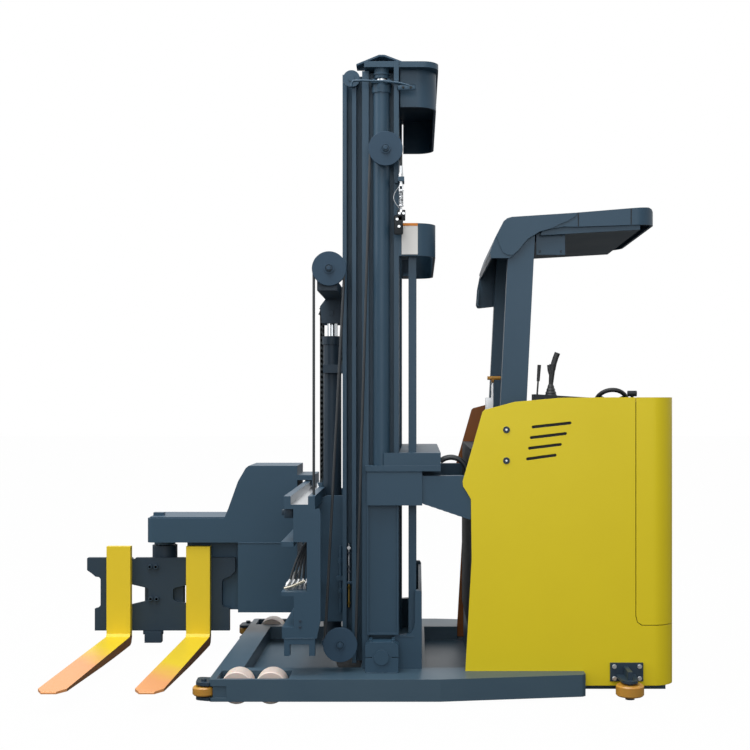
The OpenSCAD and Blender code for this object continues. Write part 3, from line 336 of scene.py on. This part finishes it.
# hoses over the discs
HOSE_Y = -602
HOSE_R = 6
PITCH_R = 68
CHANNEL_TOP = 900
TOP, LOW, HEAD = (145, 2430), (-56, 237), (-105, 1900)
RUNS = (  # node, lower end, upper end, the body of each end
    ("hose_run_top", (TOP[0] + PITCH_R, 2306), (TOP[0] + PITCH_R, TOP[1]), "chassis", "mast_middle"),
    ("hose_run_up", (LOW[0] + PITCH_R, LOW[1]), (TOP[0] - PITCH_R, TOP[1]), "mast_inner", "mast_middle"),
    ("hose_run_mid", (LOW[0] - PITCH_R, LOW[1]), (HEAD[0] + PITCH_R, HEAD[1]), "mast_inner", "crosshead"),
    ("hose_run_head", (HEAD[0] - PITCH_R, CHANNEL_TOP), (HEAD[0] - PITCH_R, HEAD[1]), "carriage", "crosshead"))
for name, low, high, low_body, high_body in RUNS:
    bm = bmesh.new()
    a, b = (low[0], HOSE_Y, low[1]), (high[0], HOSE_Y, high[1])
    sweep(bm, line(a, b, 24), HOSE_R)
    run = piece(name + "_jacket", bm, HOSE, None)
    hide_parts(name)
    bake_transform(run)
for name, centre, body, start, end in (("top", TOP, "mast_middle", 0, 180), ("low", LOW, "mast_inner", 180, 360),
                                       ("head", HEAD, "crosshead", 0, 180)):
    bm = bmesh.new()
    sweep(bm, arc(centre, PITCH_R, start, end, HOSE_Y, 24), HOSE_R)
    piece("hose_wrap_" + name, bm, HOSE, body)

# leaf chains
CHAIN_PITCH = 25.4
CHAIN_Y = (-70, 70)
SHEAVE = (-131, 1740)
CHAIN_R = 50


def chain_link(bm, x, y, z, lean=0.0):
    """One leaf chain link, standing on its pin at x, z; lean is in degrees about y."""
    made = []
    for k in (-8, -4, 0, 4, 8):
        tall = CHAIN_PITCH * (1.55 if k % 8 == 0 else 1.5)
        mat = Matrix.Diagonal((11, 3, tall, 1))
        shift = Matrix.Translation((0, k, 0 if k % 8 == 0 else CHAIN_PITCH / 2))
        made += bmesh.ops.create_cube(bm, size=1, matrix=shift @ mat)["verts"]
    made += drum(bm, (0, -11, 0), (0, 1, 0), 3.2, 22, 8)
    place = Matrix.Translation((x, y, z)) @ Matrix.Rotation(math.radians(lean), 4, "Y")
    bmesh.ops.transform(bm, matrix=place, verts=made)


CHAIN_RUNS = (("lift_chains", -181, 920, "carriage"), ("anchor_chains", -81, 1490, "mast_inner"))
for name, x, foot, body in CHAIN_RUNS:
    bm = bmesh.new()
    for y in CHAIN_Y:
        for i in range(int((SHEAVE[1] - foot) / CHAIN_PITCH)):
            chain_link(bm, x, y, foot + (i + 0.6) * CHAIN_PITCH)
    links = piece(name + "_links", bm, CHAIN, None, smooth=False)
    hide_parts(name)
    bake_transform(links)
bm = bmesh.new()
for y in CHAIN_Y:
    for i in range(8):
        a = math.radians(180 * i / 7)
        chain_link(bm, SHEAVE[0] + CHAIN_R * math.cos(a), y, SHEAVE[1] + CHAIN_R * math.sin(a) - 2, -180 * i / 7)
piece("chain_wraps", bm, CHAIN, "crosshead", smooth=False)

UP, DOWN = (0, 0, 1), (0, 0, -1)
NEAR, FAR = (0, -1, 0), (0, 1, 0)


# bolts
def bolt(bm, place, axis, across):
    """A hexagon head on its washer; across is the head's width in millimetres."""
    drum(bm, place, axis, across * 0.68, across * 0.12, 16)
    step = Vector(place) + Vector(axis) * across * 0.12
    drum(bm, step, axis, across * 0.577, across * 0.42, 6)


def socket_screw(bm, place, axis, head):
    """A cylinder head with a hexagon recess; head is its width in millimetres."""
    drum(bm, place, axis, head / 2, head * 0.3, 24)
    top = Vector(place) + Vector(axis) * head * 0.3
    rim = drum(bm, top, axis, head / 2, head * 0.1, 24, head * 0.44)
    face = max({f for v in rim for f in v.link_faces}, key=lambda f: f.calc_center_median().dot(Vector(axis)))
    hole = bmesh.ops.inset_region(bm, faces=[face], thickness=head * 0.2)["faces"]
    bmesh.ops.inset_region(bm, faces=[face], thickness=0.01, depth=-head * 0.22)
    return hole


BOLTS = []  # body, place, axis, size, finish
for s, out in ((-1, NEAR), (1, FAR)):
    for x in (78, 179):
        for y in (560, 606):
            BOLTS.append(("chassis", (x, s * y, 252), UP, 15, GREY))
    for x in (92, 158):
        BOLTS.append(("chassis", (x, s * 572, 2740), UP, 12, GREY))
    BOLTS.append(("carriage", (-225, s * 690, 330), out, 9, DARK))
    BOLTS.append(("carriage", (-225, s * 690, 356), out, 9, DARK))
for x, z in ((840, 1993), (846, 2066), (936, 1993), (936, 2066), (888, 2070)):
    BOLTS.append(("chassis", (x, -461, z), NEAR, 8, DARK))
for x, z in ((1156, 88), (1156, 141), (1268, 88), (1268, 141)):
    for s, out in ((-1, NEAR), (1, FAR)):
        BOLTS.append(("chassis", (x, s * 604, z), out, 15, STEEL))
for z in (1187, 1050):
    BOLTS.append(("chassis", (680, -589, z), NEAR, 7, STEEL))
for x in (326, 334):
    BOLTS.append(("crosshead", (-105 + (x - 330) * 4.4, -586, 1878), NEAR, 9, STEEL))
for body, finish in sorted({(b[0], b[4].name) for b in BOLTS}):
    bm = bmesh.new()
    for owner, place, axis, across, coat in BOLTS:
        if owner == body and coat.name == finish:
            bolt(bm, place, axis, across)
    piece("bolts_" + body + "_" + finish, bm, bpy.data.materials[finish], body)
bm = bmesh.new()
for x, z in ((-1104, 452), (-1073, 452), (-1100, 286), (-1069, 286)):
    socket_screw(bm, (x, 372, z), NEAR, 26)
piece("fork_plate_screws", bm, DARK, "fork_carriage")

# disc hubs: a nut in the disc's paint, in a raised ring
for name, centre in (("top", TOP), ("low", LOW), ("head", HEAD)):
    bm = bmesh.new()
    ring = bmesh.ops.create_circle(bm, segments=40, radius=17)["verts"]
    edges = list({e for v in ring for e in v.link_edges})
    turned = bmesh.ops.extrude_edge_only(bm, edges=edges)["geom"]
    outer = [g for g in turned if isinstance(g, bmesh.types.BMVert)]
    bmesh.ops.scale(bm, vec=(1.35, 1.35, 1), verts=outer)
    bmesh.ops.solidify(bm, geom=list(bm.faces), thickness=3)
    turn = to_matrix((centre[0], -613, centre[1]), NEAR)
    bmesh.ops.transform(bm, matrix=turn, verts=bm.verts)
    bmesh.ops.recalc_face_normals(bm, faces=bm.faces)
    piece("disc_ring_" + name, bm, DISC, "disc_" + name)
    bm = bmesh.new()
    bolt(bm, (centre[0], -626, centre[1]), NEAR, 15)
    piece("disc_nut_" + name, bm, DISC, {"top": "mast_middle", "low": "mast_inner", "head": "crosshead"}[name])

# hose end, spring link and bracket below the upper disc
bm = bmesh.new()
drum(bm, (213, HOSE_Y, 2306), UP, 11, 14, 6)
drum(bm, (213, HOSE_Y, 2320), UP, 9, 34, 20, 7.5)
drum(bm, (213, HOSE_Y, 2286), DOWN, 6, 16, 16)
drum(bm, (213, HOSE_Y, 2274), DOWN, 10, 10, 6)
for dx in (-9, 5):
    block(bm, (213 + dx, HOSE_Y - 8, 2236), (217 + dx, HOSE_Y + 8, 2268), 1)
drum(bm, (203, HOSE_Y, 2248), (1, 0, 0), 4, 22, 12)
drum(bm, (213, HOSE_Y, 2246), DOWN, 12, 4, 20)
drum(bm, (213, HOSE_Y, 2180), DOWN, 12, 4, 20)
drum(bm, (213, HOSE_Y, 2246), DOWN, 3, 100, 12)
drum(bm, (213, HOSE_Y, 2160), DOWN, 9, 12, 6)
piece("spring_link", bm, STEEL, "chassis")
bm = bmesh.new()
TURNS, COIL_R = 9, 9
sweep(bm, [(213 + COIL_R * math.cos(i * math.tau / 12), HOSE_Y + COIL_R * math.sin(i * math.tau / 12),
            2242 - 62 * i / (12 * TURNS)) for i in range(12 * TURNS + 1)], 1.8, 6)
piece("spring_coil", bm, STEEL, "chassis")
bm = bmesh.new()
sweep(bm, [(206 - 26 * math.sin(math.pi * i / 16), HOSE_Y - 4, 2262 - 96 * i / 16) for i in range(17)], 1.5, 8)
piece("wire_loop", bm, STEEL, "chassis")
bm = bmesh.new()
block(bm, (196, -606, 2112), (232, -596, 2160), 3)
block(bm, (182, -606, 2050), (222, -600, 2136), 6)
block(bm, (196, -600, 2070), (216, -540, 2100), 2)
piece("spring_bracket", bm, INNER, "chassis")
bm = bmesh.new()
for x, z in ((206, 2144), (224, 2144), (196, 2118), (204, 2086)):
    bolt(bm, (x, -606, z), NEAR, 9)
piece("spring_bracket_bolts", bm, STEEL, "chassis")

# hose guide and sheave on the middle mast's head
bm = bmesh.new()
sweep(bm, [(-6, -596, 2706), (-6, -596, 2722), (2, -596, 2732), (40, -596, 2733), (140, -596, 2730),
           (210, -596, 2722), (262, -596, 2706)], 5)
block(bm, (196, -600, 2690), (278, -594, 2714), 6)
block(bm, (186, -598, 2720), (200, -588, 2740), 2)
piece("hose_guide", bm, GREY, "mast_middle")
bm = bmesh.new()
for x in (222, 256):
    drum(bm, (x, -600.5, 2702), NEAR, 6, 2, 20, 5)
piece("hose_guide_caps", bm, INNER, "mast_middle")
bm = bmesh.new()
drum(bm, (-12, -479, 2768), NEAR, 38, 5, 40)
drum(bm, (-12, -484, 2768), NEAR, 33, 6, 40)
drum(bm, (-12, -490, 2768), NEAR, 38, 5, 40)
drum(bm, (-12, -495, 2768), NEAR, 14, 5, 24)
piece("head_sheave", bm, GREY, "mast_middle")

# collars over the rods' ends, and the plate behind the sunken floor
bm = bmesh.new()
for s in (-1, 1):
    drum(bm, (125, s * 541, 2752), UP, 33, 44, 40)
    drum(bm, (125, s * 541, 2768), UP, 37, 8, 40)
piece("rod_collars", bm, GREY, "mast_middle")
bm = bmesh.new()
block(bm, (-150, -425, 34), (34, 425, 42), 1)
piece("floor_lip", bm, INNER, "chassis", smooth=False)

# chain turnbuckles in the inner mast's near recess
bm = bmesh.new()
for s in (-1, 1):
    drum(bm, (-30, s * 374, 470), UP, 4.5, 190, 12)
    drum(bm, (-30, s * 374, 560), UP, 7.5, 46, 16)
    for z in (524, 548, 612):
        drum(bm, (-30, s * 374, z), UP, 8, 9, 6)
    drum(bm, (-30, s * 382, 640), (0, s, 0), 8, 6, 16)
piece("turnbuckles", bm, STEEL, "mast_inner")
bm = bmesh.new()
for s in (-1, 1):
    drum(bm, (-30, s * 374, 366), UP, 5.5, 108, 12)
    for z in (380, 452):
        drum(bm, (-30, s * 374, z), UP, 8.5, 10, 6)
piece("turnbuckle_rods", bm, BRASS, "mast_inner")
bm = bmesh.new()
for s in (-1, 1):
    block(bm, (-39, min(s * 340, s * 392), 474), (-14, max(s * 340, s * 392), 486), 1.5)
piece("turnbuckle_lugs", bm, GREY, "mast_inner")

# hydraulic fittings on the carriage shelf
FITTINGS = [(-292 + 19 * i, -618 + 7 * i) for i in range(5)]
AXIS = Vector((0.5, 0.06, 0.86)).normalized()
bm = bmesh.new()
for x, y in FITTINGS:
    drum(bm, (x, y, 483), UP, 9, 14, 6)
    drum(bm, (x, y, 497), AXIS, 7, 10, 16)
    start = Vector((x, y, 497)) + AXIS * 9
    drum(bm, start, AXIS, 9.5, 10, 6)
    drum(bm, start + AXIS * 10, AXIS, 7.5, 16, 20, 6.5)
piece("shelf_fittings", bm, STEEL, "carriage")
bm = bmesh.new()
for x, y in FITTINGS:
    start = Vector((x, y, 497)) + AXIS * 30
    sweep(bm, [start + (Vector((-205, y + 14, 690)) - start) * f + Vector((0, 0, 22 * math.sin(math.pi * f)))
               for f in (0, 0.2, 0.4, 0.6, 0.8, 1)], 5.5, 10)
piece("shelf_hoses", bm, HOSE, "carriage")
bm = bmesh.new()
sweep(bm, [(-300, -640, 492), (-270, -640, 500), (-216, -640, 524), (-208, -640, 524)], 4, 8)
sweep(bm, [(-300, -630, 489), (-262, -630, 497), (-214, -630, 517), (-208, -630, 517)], 4, 8)
piece("shelf_pipes", bm, CREAM_PIPE, "carriage")
bm = bmesh.new()
block(bm, (-300, -640, 800), (-262, -600, 844), 3)
block(bm, (-312, -632, 812), (-296, -608, 836), 2)
piece("channel_fitting", bm, DARK, "carriage")

# grip on the joystick
STICK = (886, -500, 1335)
bm = bmesh.new()
sweep(bm, [(STICK[0] + x, STICK[1], STICK[2] + z) for x, z in ((8, 120), (14, 150), (22, 175), (30, 196))], 13, 20)
sweep(bm, [(STICK[0] + x, STICK[1], STICK[2] + z) for x, z in ((2, 92), (-6, 118), (-8, 142))], 9, 16)
piece("joystick_grip", bm, GRIP, "chassis")

# dark liner behind the louvres
bm = bmesh.new()
block(bm, (742, -579, 1046), (1010, -576, 1176), 0)
block(bm, (742, -579, 1176), (798, -576, 1262), 0)
piece("louvre_liner", bm, INNER, "chassis", smooth=False)
bm = bmesh.new()
for x, z in ((680, 1187), (680, 1050)):
    ring = bmesh.ops.create_circle(bm, segments=32, radius=11, matrix=to_matrix((x, -589.2, z), NEAR))["verts"]
    edges = list({e for v in ring for e in v.link_edges})
    grown = bmesh.ops.extrude_edge_only(bm, edges=edges)["geom"]
    outer = [g for g in grown if isinstance(g, bmesh.types.BMVert)]
    bmesh.ops.scale(bm, vec=(0.45, 0.45, 0.45), verts=outer, space=Matrix.Translation((-x, 589.2, -z)))
    bmesh.ops.translate(bm, vec=(0, 1.6, 0), verts=outer)
    bmesh.ops.holes_fill(bm, edges=[e for e in bm.edges if e.is_boundary and all(v in outer for v in e.verts)])
piece("panel_fasteners", bm, INNER, "chassis")

# overlay of the guard's arm and the seams of its cover
ARM_PLATE = ((640, 2055), (676, 2124), (692, 2137), (712, 2142.5), (1004, 2161.5), (996, 2146), (962, 2124),
             (930, 2112), (890, 2092), (836, 2078), (780, 2043), (742, 1996), (716, 1972), (690, 1972), (668, 1986))
bm = bmesh.new()
for s in (-1, 1):
    start = bmesh.ops.create_circle(bm, cap_ends=True, segments=len(ARM_PLATE), radius=1)["verts"]
    for vert, (x, z) in zip(start, ARM_PLATE):
        vert.co = (x, s * 500, z)
    grown = bmesh.ops.extrude_face_region(bm, geom=list({f for v in start for f in v.link_faces}))["geom"]
    bmesh.ops.translate(bm, vec=(0, s * 4, 0), verts=[g for g in grown if isinstance(g, bmesh.types.BMVert)])
piece("guard_arm_plates", bm, GREY, "chassis", smooth=False)
bm = bmesh.new()
for x, low, high in ((1010, 2101, 2162), (1248, 2109, 2181)):
    for s in (-1, 1):
        block(bm, (x - 2.5, min(s * 499, s * 500.6), low), (x + 2.5, max(s * 499, s * 500.6), high), 0)
piece("guard_seams", bm, INNER, "chassis", smooth=False)

# ribbed hoses behind the mast, from the cover up to the shell
bm = bmesh.new()
for y in (-459, 459):
    for i in range(70):
        drum(bm, (262, y, 1084 + 12.57 * i), UP, 8, 6.27, 12, 11)
        drum(bm, (262, y, 1090.27 + 12.57 * i), UP, 11, 6.3, 12, 8)
piece("ribbed_hoses", bm, HOSE, "chassis")

# weld beads along the mast feet, the guard's bow, the brace, the carriage and the swing head
WELDS = (  # body, from, to
    ("chassis", (58, -627, 119), (199, -627, 119)), ("chassis", (204, -541, 262), (270, -541, 262)),
    ("chassis", (62, -587.5, 1001), (306, -587.5, 1001)), ("chassis", (310, -579.5, 860), (520, -579.5, 789)),
    ("carriage", (-291, -691, 281.5), (-166, -691, 281.5)), ("swing_head", (-640, 319, 582), (-337, 319, 582)))
for body in sorted({w[0] for w in WELDS}):
    bm = bmesh.new()
    for owner, a, b in WELDS:
        if owner == body:
            steps = max(4, int((Vector(b) - Vector(a)).length / 5))
            sweep(bm, line(a, b, steps), 2.2, 8)
    for vert in bm.verts:
        vert.co.z += 0.5 * math.sin(vert.co.x * 1.1)
    piece("weld_beads_" + body, bm, GREY, body)

# floor, light and camera
floor_mesh = bmesh.new()
bmesh.ops.create_grid(floor_mesh, x_segments=1, y_segments=1, size=40)
mesh = bpy.data.meshes.new("floor")
floor_mesh.to_mesh(mesh)
floor_mesh.free()
floor = bpy.data.objects.new("floor", mesh)
bpy.context.scene.collection.objects.link(floor)
FLOOR, tree, bsdf, _ = start_material("pale_floor", "#6e6e6e", Roughness=0.9, Specular_IOR_Level=0.0)
path = add(tree, "ShaderNodeLightPath")
part = add(tree, "ShaderNodeMath", {0: path.outputs["Is Camera Ray"], 1: 0.96}, operation="MULTIPLY")
white = add(tree, "ShaderNodeEmission", {"Color": (1.0, 1.0, 1.0, 1.0), "Strength": 1.03})
blend = add(tree, "ShaderNodeMixShader", {0: part.outputs[0], 1: bsdf.outputs[0], 2: white.outputs[0]})
tree.links.new(blend.outputs[0], tree.nodes["Material Output"].inputs["Surface"])
mesh.materials.append(FLOOR)
floor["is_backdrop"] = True

world = bpy.data.worlds.new("studio")
bpy.context.scene.world = world
world.use_nodes = True
tree = world.node_tree
tree.nodes.clear()
path = add(tree, "ShaderNodeLightPath")
seen = add(tree, "ShaderNodeMath", {0: path.outputs["Is Camera Ray"], 1: path.outputs["Is Glossy Ray"]},
           operation="MAXIMUM")
both = add(tree, "ShaderNodeMath", {0: seen.outputs[0], 1: path.outputs["Is Transmission Ray"]},
           operation="MAXIMUM")
soft = add(tree, "ShaderNodeBackground", {"Color": (0.95, 0.97, 1.0, 1.0), "Strength": 0.45})
white = add(tree, "ShaderNodeBackground", {"Color": (1.0, 1.0, 1.0, 1.0), "Strength": 1.0})
choose = add(tree, "ShaderNodeMixShader", {0: both.outputs[0], 1: soft.outputs[0], 2: white.outputs[0]})
add(tree, "ShaderNodeOutputWorld", {"Surface": choose.outputs[0]})


def lamp(name, place, aim, size, power, colour=(1, 1, 1)):
    """A square area lamp at a place, aimed at a point; metres and watts."""
    data = bpy.data.lights.new(name, "AREA")
    data.size, data.energy, data.color = size, power, colour
    obj = bpy.data.objects.new(name, data)
    obj.location = place
    obj.rotation_euler = (Vector(aim) - Vector(place)).to_track_quat("-Z", "Y").to_euler()
    bpy.context.scene.collection.objects.link(obj)


lamp("overhead", (-1.0, -1.2, 6.5), (0.2, 0, 0.5), 4.5, 380)
lamp("near_fill", (0.6, -7.5, 3.0), (0.4, 0, 1.1), 4.5, 125)
lamp("front_fill", (-6.0, -2.5, 3.2), (0, 0, 1.0), 3.5, 90)

FOCAL_PX = 1260
FRAME_PX = 750
SENSOR_MM = 36
AXIS_PX = (418, 400)
camera_data = bpy.data.cameras.new("camera")
camera_data.sensor_width = SENSOR_MM
camera_data.lens = FOCAL_PX / FRAME_PX * SENSOR_MM
camera_data.shift_x = (FRAME_PX / 2 - AXIS_PX[0]) / FRAME_PX
camera_data.shift_y = (AXIS_PX[1] - FRAME_PX / 2) / FRAME_PX
camera = bpy.data.objects.new("camera", camera_data)
camera.location = in_metres((288, -6174, 1319))
camera.rotation_euler = (math.radians(90), 0, 0)
bpy.context.scene.collection.objects.link(camera)
bpy.context.scene.camera = camera
bpy.context.scene.view_settings.view_transform = "Standard"

low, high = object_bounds()
